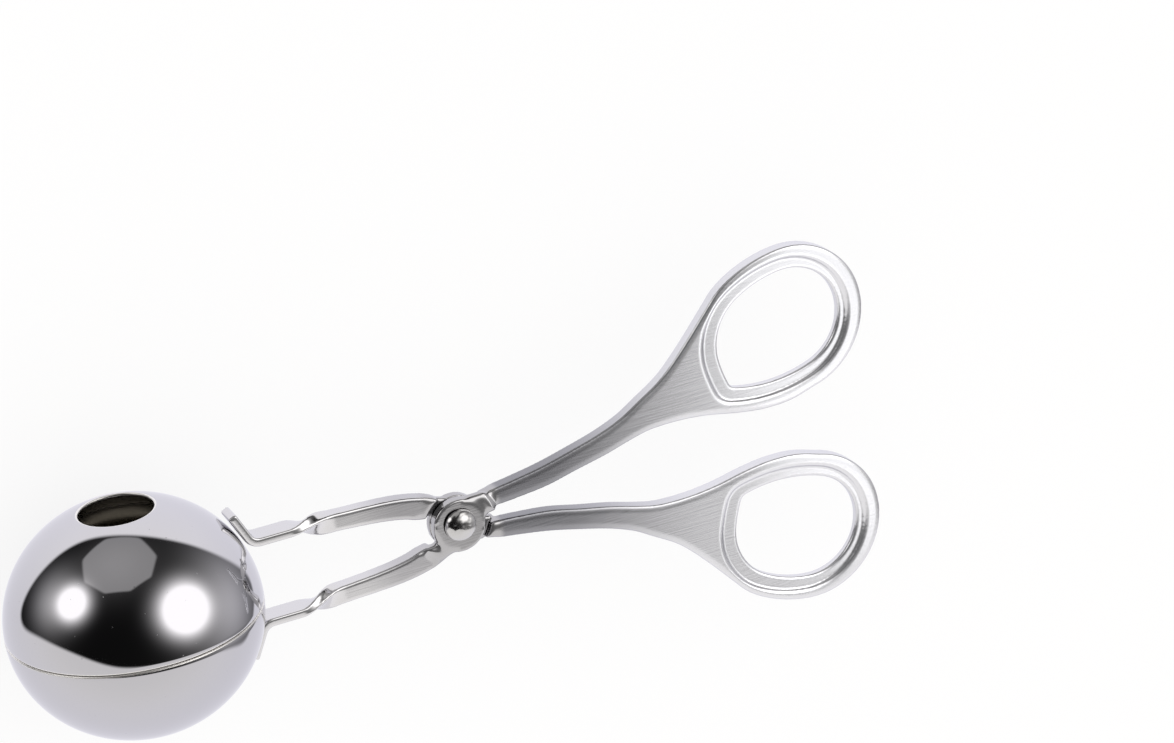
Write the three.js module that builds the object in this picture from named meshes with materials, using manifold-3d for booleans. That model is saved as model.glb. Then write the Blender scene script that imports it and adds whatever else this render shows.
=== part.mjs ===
// Meatball tongs: two identical forged levers cross at a rivet like scissors, and each carries a
// thin pressed half bowl. Millimetres. The tongs lie on their side: X runs from the bowls to the
// finger loops, Y is the way the bowls part, Z is the pivot axis and points up from the table.
import * as THREE from 'three';
import { mergeVertices } from 'three/addons/utils/BufferGeometryUtils.js';
import Module from 'manifold-3d';

// Whole tongs: length over ball and finger loops, and spread over the two loops
const overallLength = 169.65;
const overallSpread = 72.1;

// Bowls: the closed pair makes a ball a little flatter than round along Y
const ballRadius = 23;
const bowlDepth = 21.6;
const sheetThickness = 0.6;
const crownHoleRadius = 6.7;
const seamGap = 0.3;
const ballReach = 61.6;

// Lever bar and its lapped ear at the pivot
const barThickness = 3;
const barRound = 0.8;
const earRadius = 5;
const earThickness = 2.05;
const earRound = 0.9;
const lapGap = 0.3;
const stepRadius = 7.2;
const stepGap = 0.3;
const collarRise = 0.3;
const collarLip = 0.4;
const collarRound = 0.5;
const collarExtra = 0.15;
const rootFlare = 0.55;
const filletTurn = 0.19;
const waistShare = 0.78;
const footTurn = -100;
const crownTurn = 82;

// Rivet: domed head in front, lower peened tail behind
const rivetRadius = 1.9;
const rivetGap = 0.3;
const headRadius = 3.05;
const headHeight = 1.7;
const tailRadius = 2.8;
const tailHeight = 1;
const seatGap = 0.3;

// Handle: a bar that flares into the finger loop, whose edge is a chain of arcs
const handleWidth = 4.2;
const loopEndRadius = 12.5;
const loopBackRadius = 24;
const loopNoseRadius = 13.2;
const loopCheekRadius = 29;
const rimWidth = 2.2;
const toeWidth = 3.25;
const ledgeWidth = 2.4;
const holeShift = 0.8;
const ledgeDepth = 0.6;
const ledgeRound = 0.45;

// Arm: the bar, a quarter twist, a flattened strip, and a tab bent along the bowl
const armWidth = 3.5;
const twistStart = 22.9;
const twistEnd = 31.9;
const stripWidth = 4.9;
const stripThickness = 1.65;
const stripRise = 7.95;
const stripRound = 0.45;
const bendRadius = 2.5;
const tabContact = 9;
const tabLength = 5.1;
const weldGap = 0.3;

// Cuts run past the metal by this much
const overrun = 4;

// Turns of the four arcs that lead round the finger loop from its start, in degrees
const fullTurn = 360;
const loopStart = -70;
const loopTurns = [166, 25.4, 69.5, 11.2];
const cornerEnd = 256;
const rimStart = -75;
const leaveTurn = 14;

// Handle axis from the pivot: shares of loopReach, loopRise and handleWidth
const handleShares = [
  [0.035, 0.117, 0.62],
  [0.11, 0.15, 0.81],
  [0.167, 0.171, 0.88],
  [0.255, 0.211, 0.97],
  [0.341, 0.277, 0.99],
  [0.428, 0.347, 1.07],
  [0.5, 0.425, 1.19],
  [0.558, 0.498, 1.52],
];
// Stations of handle and arm that the collar's two stubs run between
const rootStub = [1, 3];
const neckStub = [2, 4];
// Edges of the web that fans out to the loop: shares of loopReach and loopRise
const webOuterShares = [[0.62, 0.802], [0.693, 1.035]];
const webInnerShares = [[0.659, 0.364], [0.744, 0.336], [0.831, 0.28], [0.91, 0.249], [0.99, 0.261]];
// Arm axis from inside the ear to the twist: shares of twistStart, stripRise and armWidth
const armShares = [
  [0.096, 0.42, 0.75],
  [0.214, 0.575, 1.19],
  [0.305, 0.642, 1.27],
  [0.4, 0.723, 1.2],
  [0.533, 0.792, 1.14],
  [0.711, 0.843, 1.07],
  [0.889, 0.874, 1.02],
  [1, 0.893, 1],
];

// Centre of the loop's end arc, from the pivot
const toeReach = overallLength - ballReach - ballRadius;
const loopReach = toeReach - toeWidth - loopEndRadius;
const topTurn = THREE.MathUtils.degToRad(loopStart + loopTurns[0]);
const backDrop = (loopBackRadius - loopEndRadius) * Math.sin(topTurn);
const loopRise = overallSpread / 2 - rimWidth - loopBackRadius + backDrop;

// How finely round forms are divided
const bowlSegments = 56;
const bowlSteps = 12;
const arcStep = 9;
const arcChord = 2.2;
const cornerSteps = 2;
const webSteps = 30;
const armSteps = 12;
const twistSteps = 12;
const bendSteps = 6;
const rivetSegments = 28;
const domeSteps = 5;

const wasm = await Module();
wasm.setup();

const radians = THREE.MathUtils.degToRad;

// Joined and cut forms work on closed solids whose corners are shared
function toSolid(geometry) {
  const bare = new THREE.BufferGeometry();
  bare.setAttribute('position', geometry.getAttribute('position'));
  bare.setIndex(geometry.getIndex());
  const merged = mergeVertices(bare);
  return new wasm.Manifold(new wasm.Mesh({
    numProp: 3,
    vertProperties: new Float32Array(merged.getAttribute('position').array),
    triVerts: new Uint32Array(merged.getIndex().array),
  }));
}

function toGeometry(solid) {
  const mesh = solid.getMesh();
  const geometry = new THREE.BufferGeometry();
  geometry.setAttribute('position', new THREE.BufferAttribute(new Float32Array(mesh.vertProperties), 3));
  geometry.setIndex(new THREE.BufferAttribute(new Uint32Array(mesh.triVerts), 1));
  geometry.computeVertexNormals();
  return geometry;
}

// A plate between two heights, its rim rounded inside the outline
function plate(outline, bottom, top, round, holes = []) {
  const shape = new THREE.Shape(outline);
  shape.holes = holes.map((hole) => new THREE.Path(hole));
  const geometry = new THREE.ExtrudeGeometry(shape, {
    depth: top - bottom - 2 * round,
    bevelEnabled: round > 0,
    bevelThickness: round,
    bevelSize: round,
    bevelOffset: -round,
    bevelSegments: cornerSteps,
  });
  geometry.translate(0, 0, bottom + round);
  return toSolid(geometry);
}

// A round bar along Z between two heights
function roundBar(radius, bottom, top) {
  const geometry = new THREE.CylinderGeometry(radius, radius, top - bottom, bowlSegments);
  geometry.rotateX(Math.PI / 2);
  geometry.translate(0, 0, (top + bottom) / 2);
  return toSolid(geometry);
}

// A closed skin over a row of rings that have the same number of points
function loft(rings) {
  const count = rings[0].length;
  const points = rings.flat();
  const indices = [];
  for (let row = 0; row < rings.length - 1; row += 1) {
    for (let i = 0; i < count; i += 1) {
      const next = (i + 1) % count;
      const a = row * count + i;
      const b = row * count + next;
      indices.push(a, a + count, b, b, a + count, b + count);
    }
  }
  for (const row of [0, rings.length - 1]) {
    const centre = rings[row].reduce((sum, point) => sum.add(point), new THREE.Vector3());
    points.push(centre.divideScalar(count));
    const hub = points.length - 1;
    for (let i = 0; i < count; i += 1) {
      const a = row * count + i;
      const b = row * count + ((i + 1) % count);
      indices.push(...(row === 0 ? [hub, a, b] : [hub, b, a]));
    }
  }
  const geometry = new THREE.BufferGeometry();
  geometry.setFromPoints(points);
  geometry.setIndex(indices);
  return toSolid(geometry);
}

// Points of an arc about a centre, from one angle to another in degrees
function arcPoints(x, y, radius, from, to) {
  const turn = Math.abs(to - from);
  const steps = Math.max(2, Math.ceil(turn / arcStep), Math.ceil((radians(turn) * radius) / arcChord));
  const points = [];
  for (let i = 0; i <= steps; i += 1) {
    const angle = radians(from + ((to - from) * i) / steps);
    points.push(new THREE.Vector2(x + radius * Math.cos(angle), y + radius * Math.sin(angle)));
  }
  return points;
}

// Unit vector at an angle in degrees
function heading(angle) {
  return new THREE.Vector2(Math.cos(radians(angle)), Math.sin(radians(angle)));
}

// Arcs that follow one another without a kink, from a first angle about a first centre
function arcChain(x, y, radii, turns, start) {
  let centre = new THREE.Vector2(x, y);
  let angle = start;
  const points = [];
  radii.forEach((radius, i) => {
    if (i > 0) {
      centre = centre.clone().addScaledVector(heading(angle), radii[i - 1] - radius);
    }
    points.push(...arcPoints(centre.x, centre.y, radius, angle, angle + turns[i]).slice(i > 0 ? 1 : 0));
    angle += turns[i];
  });
  return { points, angle };
}

// The finger loop's edge, drawn inwards by an inset; a corner arc and a long bottom arc close it
function loopOutline(inset) {
  const radii = [loopEndRadius, loopBackRadius, loopNoseRadius, loopCheekRadius];
  const { points, angle } = arcChain(loopReach, loopRise, radii, loopTurns, loopStart);
  const gap = points[0].clone().sub(points.at(-1));
  const corner = heading(cornerEnd).sub(heading(angle));
  const bottom = heading(loopStart).sub(heading(cornerEnd));
  const area = corner.cross(bottom);
  const closing = [gap.cross(bottom) / area, corner.cross(gap) / area];
  const allRadii = [...radii, ...closing].map((radius) => radius - inset);
  const allTurns = [...loopTurns, cornerEnd - angle, fullTurn + loopStart - cornerEnd];
  return arcChain(loopReach, loopRise, allRadii, allTurns, loopStart).points.slice(0, -1);
}

// A smooth line through points, divided evenly
function smooth(points, steps) {
  return new THREE.SplineCurve(points).getPoints(steps);
}

// Both edges of a bar, from its axis and widths
function barEdges(stations) {
  const axis = new THREE.CatmullRomCurve3(stations);
  const edge = (side) => stations.map((station, i) => {
    const along = axis.getTangent(i / (stations.length - 1));
    const across = new THREE.Vector2(-along.y, along.x).normalize();
    return new THREE.Vector2(station.x, station.y).addScaledVector(across, (side * station.z) / 2);
  });
  return { left: edge(1), right: edge(-1) };
}

// A rounded inside corner where a bar leaves the ear
function innerFillet(onEar, corner, onBar) {
  return new THREE.QuadraticBezierCurve(onEar, corner, onBar).getPoints(cornerSteps * 2);
}

function earPoint(angle) {
  return new THREE.Vector2(earRadius * Math.cos(angle), earRadius * Math.sin(angle));
}

// Axis of the arm's bar; the third value of each point is the width there
function armStations() {
  return armShares.map(([x, y, w]) => new THREE.Vector3(-x * twistStart, -y * stripRise, w * armWidth));
}

// Axis of the handle's bar, in the same way
function handleStations() {
  return handleShares.map(([x, y, w]) => new THREE.Vector3(x * loopReach, y * loopRise, w * handleWidth));
}

// Outline of handle and finger loop seen from the front, counter-clockwise, its root inside the ear
function handleOutline() {
  const handle = barEdges(handleStations());
  const fromLoop = ([x, y]) => new THREE.Vector2(x * loopReach, y * loopRise);
  const rimRadii = [loopEndRadius, loopBackRadius, loopNoseRadius].map((radius) => radius + rimWidth);
  const rimTurns = [loopTurns[0] + loopStart - rimStart, loopTurns[1], leaveTurn];
  const rim = arcChain(loopReach + toeWidth - rimWidth, loopRise, rimRadii, rimTurns, rimStart).points;
  const inner = smooth([...handle.right, ...webInnerShares.map(fromLoop), rim[0]], webSteps);
  const outer = smooth([
    rim.at(-1), ...webOuterShares.map(fromLoop).reverse(), ...handle.left.reverse(),
  ], webSteps);
  return [...inner.slice(0, -1), ...rim.slice(0, -1), ...outer];
}

// Outline of the collar: the ear with a stub of the handle on one side and of the arm on the other
function collarOutline() {
  const widen = (station) => station.clone().setZ(station.z + 2 * collarExtra);
  const root = barEdges(handleStations().slice(...rootStub).map(widen));
  const neck = barEdges(armStations().slice(...neckStub).map(widen));
  const rootFoot = root.right.map((point) => point.setY(point.y - rootFlare));
  const toDegrees = THREE.MathUtils.radToDeg;

  const rootCorner = Math.asin(rootFoot[0].y / earRadius);
  const foot = arcPoints(0, 0, earRadius, footTurn, toDegrees(rootCorner - filletTurn));
  const rootFillet = innerFillet(foot.at(-1), earPoint(rootCorner), rootFoot[0]);
  const neckCorner = Math.PI + Math.asin(-neck.right[0].y / earRadius);
  const crown = arcPoints(0, 0, earRadius, crownTurn, toDegrees(neckCorner - filletTurn));
  const neckFillet = innerFillet(crown.at(-1), earPoint(neckCorner), neck.right[0]);
  const waist = new THREE.Vector2(-earRadius, -stepRadius).multiplyScalar(waistShare);
  const neckWaist = innerFillet(neck.left[0], waist, foot[0]);
  return [
    ...foot.slice(0, -1), ...rootFillet.slice(0, -1), ...rootFoot, ...root.left.reverse(),
    ...crown.slice(0, -1), ...neckFillet.slice(0, -1), ...neck.right, ...neck.left.slice(1).reverse(),
    ...neckWaist.slice(0, -1),
  ];
}

// Rounded section of a bar, centred, first side then second side
function sectionPoints(width, height, round) {
  const corners = [[1, 1], [-1, 1], [-1, -1], [1, -1]];
  return corners.flatMap(([sx, sy], quarter) => {
    const points = [];
    for (let i = 0; i <= cornerSteps; i += 1) {
      const angle = (quarter + i / cornerSteps) * (Math.PI / 2);
      points.push([
        sx * (width / 2 - round) + round * Math.cos(angle),
        sy * (height / 2 - round) + round * Math.sin(angle),
      ]);
    }
    return points;
  });
}

// One ring of the arm's skin: a section turned about the bar's own axis
function armRing(place, along, width, height, round, twist) {
  const side = new THREE.Vector3(along.y, -along.x, 0);
  const up = new THREE.Vector3(0, 0, 1);
  const first = side.clone().multiplyScalar(Math.cos(twist)).addScaledVector(up, Math.sin(twist));
  const second = up.clone().multiplyScalar(Math.cos(twist)).addScaledVector(side, -Math.sin(twist));
  return sectionPoints(width, height, round).map(([a, b]) => (
    place.clone().addScaledVector(first, a).addScaledVector(second, b)));
}

// The arm from the ear to the tip of the tab; it runs towards -X and lies on the -Y side
function armBody() {
  const bar = new THREE.CatmullRomCurve3(armStations());
  const rings = [];
  for (let i = 0; i < armSteps; i += 1) {
    const share = i / armSteps;
    const { x, y, z } = bar.getPoint(share);
    const along = bar.getTangent(share).setZ(0).normalize();
    rings.push(armRing(new THREE.Vector3(x, y, 0), along, z, barThickness, barRound, 0));
  }
  const [, lastRise] = armShares.at(-1);
  for (let i = 0; i <= twistSteps; i += 1) {
    const share = i / twistSteps;
    const blend = THREE.MathUtils.smoothstep(share, 0, 1);
    const x = -THREE.MathUtils.lerp(twistStart, twistEnd, share);
    const y = -stripRise * THREE.MathUtils.lerp(lastRise, 1, blend);
    rings.push(armRing(
      new THREE.Vector3(x, y, 0),
      new THREE.Vector3(-1, 0, 0),
      THREE.MathUtils.lerp(armWidth, stripWidth, blend),
      THREE.MathUtils.lerp(barThickness, stripThickness, blend),
      THREE.MathUtils.lerp(barRound, stripRound, blend),
      blend * Math.PI / 2,
    ));
  }

  const { point, normal } = bowlTouch();
  const tabAxis = point.clone().addScaledVector(normal, weldGap + stripThickness / 2);
  const tabAlong = new THREE.Vector2(normal.y, -normal.x);
  const turn = Math.acos(-tabAlong.x);
  const bendX = tabAxis.x - ((tabAxis.y + stripRise) / tabAlong.y) * tabAlong.x;
  const lead = bendRadius * Math.tan(turn / 2);
  const hub = new THREE.Vector2(bendX + lead, -stripRise - bendRadius);
  for (let i = 0; i <= bendSteps; i += 1) {
    const angle = (turn * i) / bendSteps;
    rings.push(armRing(
      new THREE.Vector3(hub.x - bendRadius * Math.sin(angle), hub.y + bendRadius * Math.cos(angle), 0),
      new THREE.Vector3(-Math.cos(angle), -Math.sin(angle), 0),
      stripWidth, stripThickness, stripRound, Math.PI / 2,
    ));
  }
  const tip = tabAxis.clone().addScaledVector(tabAlong, tabLength);
  rings.push(armRing(
    new THREE.Vector3(tip.x, tip.y, 0),
    new THREE.Vector3(tabAlong.x, tabAlong.y, 0),
    stripWidth, stripThickness, stripRound, Math.PI / 2,
  ));
  return loft(rings);
}

// Where the tab lies on the lower bowl, in the pivot's frame, with the bowl's outward normal
function bowlTouch() {
  const rise = Math.asin(tabContact / bowlDepth);
  const point = new THREE.Vector2(ballRadius * Math.cos(rise) - ballReach, -tabContact);
  const normal = new THREE.Vector2(bowlDepth * Math.cos(rise), -ballRadius * Math.sin(rise)).normalize();
  return { point, normal };
}

// Room for the collar: a drum inside the step, with a lip that laps over the bar's face outside it
function collarEnvelope(foot, barFace, top) {
  const radius = stepRadius - stepGap / 2;
  const lip = stepRadius + collarLip;
  const profile = [
    [0, foot],
    [radius, foot],
    [radius, barFace - collarRound],
    [lip, barFace - collarRound],
    [lip, barFace],
    [lip - collarRise, top],
    [lip - collarRise, top + overrun],
    [0, top + overrun],
  ].map(([r, z]) => new THREE.Vector2(r, z));
  const geometry = new THREE.LatheGeometry(profile, bowlSegments);
  geometry.rotateX(Math.PI / 2);
  return toSolid(geometry);
}

// Lever with its ear raised to the front: handle on the +Y side, arm on the -Y side
function leverGeometry() {
  const half = barThickness / 2;
  const lapFace = lapGap / 2;
  const earTop = lapFace + earThickness;
  const collarTop = half + collarRise;
  const bar = plate(handleOutline(), -half, half, barRound).add(armBody());
  const recess = roundBar(stepRadius + stepGap / 2, -half - overrun, lapFace);
  const collar = plate(collarOutline(), -half, collarTop, collarRound)
    .intersect(collarEnvelope(lapFace, half, collarTop));
  const rim = arcPoints(0, 0, earRadius + collarExtra, 0, fullTurn).slice(0, -1);
  const disc = plate(rim, -half, earTop, earRound).subtract(recess);
  const fingerHole = plate(loopOutline(0), -half - overrun, half + overrun, 0);
  const hole = loopOutline(ledgeWidth).map((point) => point.setX(point.x + holeShift));
  const ledge = plate(
    loopOutline(-rimWidth / 2), ledgeDepth - half, half - ledgeDepth, ledgeRound, [hole],
  );
  const rivetHole = roundBar(rivetRadius + rivetGap, -overrun, earTop + overrun);
  const body = bar.subtract(recess).add(collar).add(disc).subtract(fingerHole).add(ledge);
  return toGeometry(body.subtract(rivetHole));
}

// Half bowl of sheet steel: rim on the seam, wall of one thickness, round hole at the crown
function bowlGeometry() {
  const wall = (radius, depth, from, to) => {
    const points = [];
    for (let i = 0; i <= bowlSteps; i += 1) {
      const angle = THREE.MathUtils.lerp(from, to, i / bowlSteps);
      points.push(new THREE.Vector2(radius * Math.cos(angle), depth * Math.sin(angle)));
    }
    return points;
  };
  const innerRadius = ballRadius - sheetThickness;
  const innerDepth = bowlDepth - sheetThickness;
  const rim = seamGap / 2;
  const outer = wall(ballRadius, bowlDepth, Math.asin(rim / bowlDepth),
    Math.acos(crownHoleRadius / ballRadius));
  const inner = wall(innerRadius, innerDepth, Math.acos(crownHoleRadius / innerRadius),
    Math.asin(rim / innerDepth));
  const profile = [...outer, ...inner, outer[0].clone()];
  return new THREE.LatheGeometry(profile, bowlSegments);
}

// Rivet turned about Z: peened tail, shank, domed head
function rivetGeometry() {
  const seat = lapGap / 2 + earThickness + seatGap;
  const dome = (radius, height) => {
    const points = [];
    for (let i = 0; i <= domeSteps; i += 1) {
      const angle = (i / domeSteps) * (Math.PI / 2);
      points.push(new THREE.Vector2(radius * Math.cos(angle), height * Math.sin(angle)));
    }
    return points;
  };
  const head = dome(headRadius, headHeight).map((p) => new THREE.Vector2(p.x, seat + p.y));
  const tail = dome(tailRadius, tailHeight).map((p) => new THREE.Vector2(p.x, -seat - p.y)).reverse();
  const profile = [
    ...tail,
    new THREE.Vector2(rivetRadius, -seat),
    new THREE.Vector2(rivetRadius, seat),
    ...head,
  ];
  const ends = profile.map((p, i) => (i === 0 || i === profile.length - 1 ? p.setX(0) : p));
  const geometry = new THREE.LatheGeometry(ends, rivetSegments);
  geometry.rotateX(Math.PI / 2);
  return geometry;
}

function steel(color, roughness) {
  return new THREE.MeshStandardMaterial({ color, metalness: 1, roughness });
}

function piece(name, geometry, material, turned = false) {
  const mesh = new THREE.Mesh(geometry, material);
  mesh.name = name;
  mesh.rotation.x = turned ? Math.PI : 0;
  return mesh;
}

const lever = leverGeometry();
const bowl = bowlGeometry();

// The pair of bowls lies on the table; the middle of the whole length is the origin
const tongs = new THREE.Group();
tongs.position.set(overallLength / 2 - toeReach, 0, ballRadius);

// The two levers are one forging, the second turned over; so are the two bowls
tongs.add(piece('front_lever', lever, steel(0xb4b5b8, 0.34)));
tongs.add(piece('back_lever', lever.clone(), steel(0xb0b1b4, 0.34), true));
tongs.add(piece('pivot_rivet', rivetGeometry(), steel(0xd2d2d2, 0.15)));

const upperBowl = piece('upper_bowl', bowl, steel(0xdedede, 0.05));
const lowerBowl = piece('lower_bowl', bowl.clone(), steel(0xdadada, 0.05), true);
upperBowl.position.x = -ballReach;
lowerBowl.position.x = -ballReach;
tongs.add(upperBowl, lowerBowl);

const object = new THREE.Group();
object.add(tongs);

export default object;
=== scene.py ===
import math

import bmesh
import bpy
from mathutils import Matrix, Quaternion, Vector
from mathutils.geometry import tessellate_polygon


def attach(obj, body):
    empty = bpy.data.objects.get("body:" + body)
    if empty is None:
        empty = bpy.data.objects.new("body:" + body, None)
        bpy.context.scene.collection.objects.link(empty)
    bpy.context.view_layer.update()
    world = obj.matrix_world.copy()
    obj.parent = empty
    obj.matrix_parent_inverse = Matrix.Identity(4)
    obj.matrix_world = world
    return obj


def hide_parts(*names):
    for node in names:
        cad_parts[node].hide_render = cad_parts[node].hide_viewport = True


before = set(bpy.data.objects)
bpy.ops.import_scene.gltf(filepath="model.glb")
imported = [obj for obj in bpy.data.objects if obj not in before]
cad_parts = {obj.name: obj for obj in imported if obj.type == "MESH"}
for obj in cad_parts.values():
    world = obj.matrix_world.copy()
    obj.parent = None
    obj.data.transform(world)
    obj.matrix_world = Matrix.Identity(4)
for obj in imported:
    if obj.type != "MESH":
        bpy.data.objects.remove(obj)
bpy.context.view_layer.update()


# ---- The pair of bowls ----
# Each half bowl is pressed from thin stainless steel sheet, polished to a mirror, and deburred at
# its rim and at the hole in its crown. A Geometry Nodes tree turns the wall's section round the
# crown's axis. Sizes are in millimetres until a piece is settled.

MILLIMETRE = 0.001
PIVOT = Vector((-0.225, 0.0, 23.0))
BALL_REACH = 61.6
BALL_RADIUS = 23.0
BOWL_DEPTH = 21.6
SHEET = 0.6
CROWN_HOLE_RADIUS = 6.7
SEAM_SHOWN = 0.12
POINTS_AROUND = 220
POINTS_ALONG = 97
# Share of the wall's section that each face takes; each rounded edge takes the rest of a half
FACE_SHARE = 0.4375


def linear(hex_colour):
    """An sRGB hex colour as the linear colour that shaders expect."""
    shares = [int(hex_colour[i:i + 2], 16) / 255 for i in (1, 3, 5)]
    return [s / 12.92 if s <= 0.04045 else ((s + 0.055) / 1.055) ** 2.4 for s in shares] + [1.0]


def node(tree, kind, inputs=None, **settings):
    """Adds a node with its settings; an input gets a value, or a link where given a socket."""
    made = tree.nodes.new(kind)
    for name, value in settings.items():
        setattr(made, name, value)
    for name, value in (inputs or {}).items():
        if isinstance(value, bpy.types.NodeSocket):
            tree.links.new(value, made.inputs[name])
        else:
            made.inputs[name].default_value = value
    return made


def metal(name, colour, roughness):
    """A new metal material; returns it with its node tree and its shader node."""
    material = bpy.data.materials.new(name)
    material.use_nodes = True
    tree = material.node_tree
    shader = tree.nodes["Principled BSDF"]
    shader.inputs["Base Color"].default_value = linear(colour)
    shader.inputs["Metallic"].default_value = 1.0
    shader.inputs["Roughness"].default_value = roughness
    return material, tree, shader


def polished_sheet():
    """Stainless sheet, deep drawn and buffed: a mirror with faint waves, haze and dust."""
    material, tree, shader = metal("mirror-polished stainless sheet", "#cac9cd", 0.04)
    place = node(tree, "ShaderNodeTexCoord").outputs["Object"]
    # Buffing leaves soft waves some 9 mm long, far too shallow to feel
    waves = node(tree, "ShaderNodeTexNoise", {"Vector": place, "Scale": 1 / 0.009, "Detail": 1.0})
    bump = node(tree, "ShaderNodeBump", {
        "Height": waves.outputs["Fac"], "Strength": 0.06, "Distance": 0.0004})
    # Handling leaves a haze in patches of about 14 mm; dust of 0.1 mm is drawn 0.3 mm wide to show
    haze = node(tree, "ShaderNodeTexNoise", {"Vector": place, "Scale": 1 / 0.014, "Detail": 3.0})
    clear = node(tree, "ShaderNodeMapRange", {
        "Value": haze.outputs["Fac"], "To Min": 0.025, "To Max": 0.06})
    specks = node(tree, "ShaderNodeTexVoronoi", {"Vector": place, "Scale": 1 / 0.0022})
    dust = node(tree, "ShaderNodeMapRange", {
        "Value": specks.outputs["Distance"], "From Min": 0.03, "From Max": 0.08,
        "To Min": 0.3, "To Max": 0.0})
    dusty = node(tree, "ShaderNodeMath", {
        0: dust.outputs["Result"], 1: clear.outputs["Result"]}, operation="ADD")
    tree.links.new(dusty.outputs[0], shader.inputs["Roughness"])
    tree.links.new(bump.outputs["Normal"], shader.inputs["Normal"])
    return material


def drawn_sheet_and_shade():
    """Inside of a bowl, left as the press drew it: duller, with rings from the die, and a dark
    olive grey that is painted shade.
    """
    # The dark olive grey stands for the shade inside the closed ball: painted shade
    material, tree, shader = metal("as-drawn stainless sheet with painted shade", "#959189", 0.16)
    place = node(tree, "ShaderNodeTexCoord").outputs["Object"]
    # The rings lie round the crown's axis, some 2.4 mm apart
    rings = node(tree, "ShaderNodeTexWave", {
        "Vector": place, "Scale": 1 / 0.0024 / math.tau, "Distortion": 0.6, "Detail": 1.0},
        wave_type="BANDS", bands_direction="Y")
    bump = node(tree, "ShaderNodeBump", {
        "Height": rings.outputs["Fac"], "Strength": 0.15, "Distance": 0.00005})
    rough = node(tree, "ShaderNodeMapRange", {
        "Value": rings.outputs["Fac"], "To Min": 0.1, "To Max": 0.2})
    tree.links.new(rough.outputs["Result"], shader.inputs["Roughness"])
    tree.links.new(bump.outputs["Normal"], shader.inputs["Normal"])
    return material


def deburred_edge():
    """Cut edge of the sheet, rounded with fine abrasive: paler and more matt than the mirror."""
    material, tree, shader = metal("deburred stainless edge", "#f3f1ee", 0.35)
    place = node(tree, "ShaderNodeTexCoord").outputs["Object"]
    # Marks of the abrasive; real ones are some 0.1 mm apart and are drawn 0.5 mm apart to show
    marks = node(tree, "ShaderNodeTexNoise", {"Vector": place, "Scale": 1 / 0.0005, "Detail": 2.0})
    rough = node(tree, "ShaderNodeMapRange", {
        "Value": marks.outputs["Fac"], "To Min": 0.25, "To Max": 0.5})
    tree.links.new(rough.outputs["Result"], shader.inputs["Roughness"])
    return material


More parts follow.
